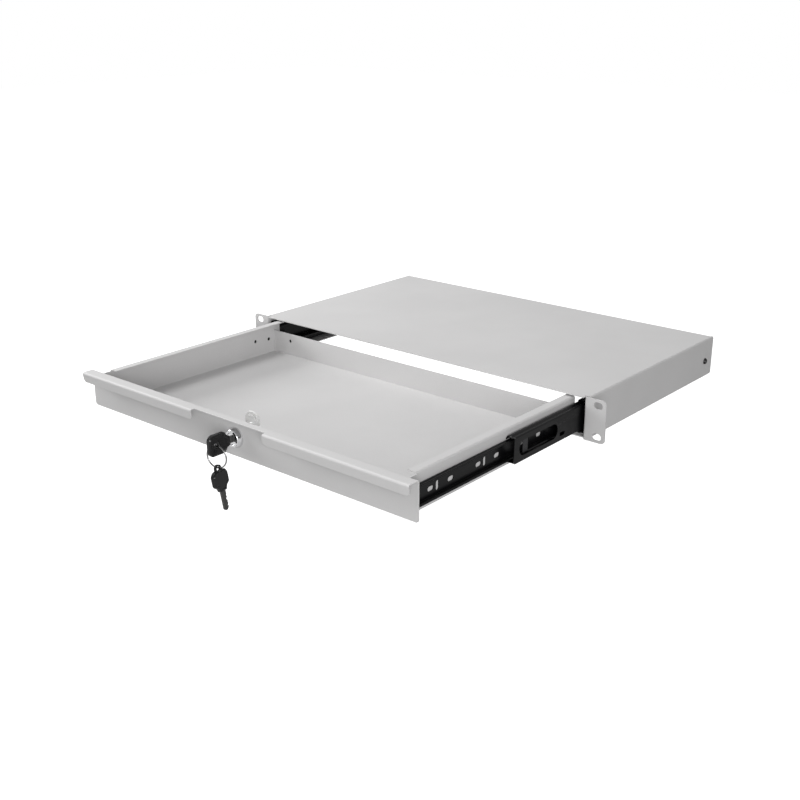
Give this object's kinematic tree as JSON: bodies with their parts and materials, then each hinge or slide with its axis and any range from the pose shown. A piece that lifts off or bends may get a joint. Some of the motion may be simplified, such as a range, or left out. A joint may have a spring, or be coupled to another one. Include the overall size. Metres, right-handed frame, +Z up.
{
  "type": "sliding rack drawer",
  "caption": "Low lockable drawer for a 19-inch rack: a bent-sheet housing with slotted ears, a sheet-metal drawer on ball-bearing slides, and a cam lock with keys.",
  "frame": {"origin": "centre of the four ear slots, on the rear face of the rack ears", "axes": "+X to the right seen from the front, +Y to the rear of the rack, +Z up; the drawer opens towards -Y"},
  "size_m": [0.4826, 0.5484, 0.0846],
  "materials": {
    "housing_paint": "pale grey textured powder coat",
    "drawer_paint": "pale grey textured powder coat",
    "slide_black": "black electro-coated steel, semi-gloss",
    "retainer_steel": "zinc-plated strip",
    "ball_steel": "polished bearing steel",
    "zinc_steel": "bright zinc plate",
    "screw_steel": "nickel-plated screws",
    "lock_chrome": "polished chrome",
    "key_steel": "nickel-plated",
    "key_plastic": "glossy black moulding",
    "ring_steel": "sprung steel wire",
    "bumper_nylon": "black nylon"
  },
  "bodies": {
    "housing": {"housing_shell": "housing_paint", "front_cross_rail": "housing_paint", "rear_cross_rail": "housing_paint", "rail_rivets": "zinc_steel", "left_outer_member": "slide_black", "right_outer_member": "slide_black", "left_slide_bumper": "bumper_nylon", "right_slide_bumper": "bumper_nylon", "housing_slide_screws": "screw_steel", "left_ear_bracket": "housing_paint", "right_ear_bracket": "housing_paint", "slide_spacers": "zinc_steel"},
    "drawer": {"drawer_tray": "drawer_paint", "front_panel": "drawer_paint", "left_drawer_member": "slide_black", "right_drawer_member": "slide_black", "drawer_slide_screws": "screw_steel", "lock_barrel": "lock_chrome", "lock_nut": "zinc_steel"},
    "lock_cylinder": {"lock_plug": "lock_chrome", "lock_cam": "zinc_steel", "cam_nut": "zinc_steel"},
    "lock_key": {"lock_key_blade": "key_steel", "lock_key_head": "key_plastic"},
    "key_ring": {"key_ring": "ring_steel"},
    "spare_key": {"spare_key_blade": "key_steel", "spare_key_head": "key_plastic"},
    "left_middle": {"left_middle_member": "slide_black"},
    "left_outer_cage": {"left_outer_retainer": "retainer_steel", "left_outer_balls": "ball_steel"},
    "left_inner_cage": {"left_inner_retainer": "retainer_steel", "left_inner_balls": "ball_steel"},
    "right_middle": {"right_middle_member": "slide_black"},
    "right_outer_cage": {"right_outer_retainer": "retainer_steel", "right_outer_balls": "ball_steel"},
    "right_inner_cage": {"right_inner_retainer": "retainer_steel", "right_inner_balls": "ball_steel"}
  },
  "joints": [
    {"name": "drawer_slide", "type": "slide", "parent": "housing", "child": "drawer", "axis": [0, 1, 0], "range_m": [0, 0.25]},
    {"name": "key_turn", "type": "hinge", "parent": "drawer", "child": "lock_cylinder", "pos_m": [0, -0.24, 0.0004], "axis": [0, 1, 0], "range_deg": [0, 180]},
    {"name": "key_withdraw", "type": "slide", "parent": "lock_cylinder", "child": "lock_key", "axis": [0, -1, 0], "range_m": [0, 0.02]},
    {"name": "ring_swing", "type": "hinge", "parent": "lock_key", "child": "key_ring", "pos_m": [0, -0.2753, 0.0004], "axis": [0.9781, 0.2079, 0], "range_deg": [-75, 12]},
    {"name": "spare_key_swing", "type": "hinge", "parent": "key_ring", "child": "spare_key", "pos_m": [0.00021, -0.27525, -0.02328], "axis": [0.9602, 0.2041, 0.1908], "range_deg": [-50, 8]},
    {"name": "left_middle_slide", "type": "slide", "parent": "housing", "child": "left_middle", "axis": [0, 1, 0], "range_m": [0, 0.125]},
    {"name": "left_outer_cage_slide", "type": "slide", "parent": "housing", "child": "left_outer_cage", "axis": [0, 1, 0], "range_m": [0, 0.0625]},
    {"name": "left_inner_cage_slide", "type": "slide", "parent": "housing", "child": "left_inner_cage", "axis": [0, 1, 0], "range_m": [0, 0.1875]},
    {"name": "right_middle_slide", "type": "slide", "parent": "housing", "child": "right_middle", "axis": [0, 1, 0], "range_m": [0, 0.125]},
    {"name": "right_outer_cage_slide", "type": "slide", "parent": "housing", "child": "right_outer_cage", "axis": [0, 1, 0], "range_m": [0, 0.0625]},
    {"name": "right_inner_cage_slide", "type": "slide", "parent": "housing", "child": "right_inner_cage", "axis": [0, 1, 0], "range_m": [0, 0.1875]}
  ],
  "couplings": [
    {"joint": "left_middle_slide", "follows": "drawer_slide", "ratio": 0.5},
    {"joint": "left_outer_cage_slide", "follows": "drawer_slide", "ratio": 0.25},
    {"joint": "left_inner_cage_slide", "follows": "drawer_slide", "ratio": 0.75},
    {"joint": "right_middle_slide", "follows": "drawer_slide", "ratio": 0.5},
    {"joint": "right_outer_cage_slide", "follows": "drawer_slide", "ratio": 0.25},
    {"joint": "right_inner_cage_slide", "follows": "drawer_slide", "ratio": 0.75}
  ]
}
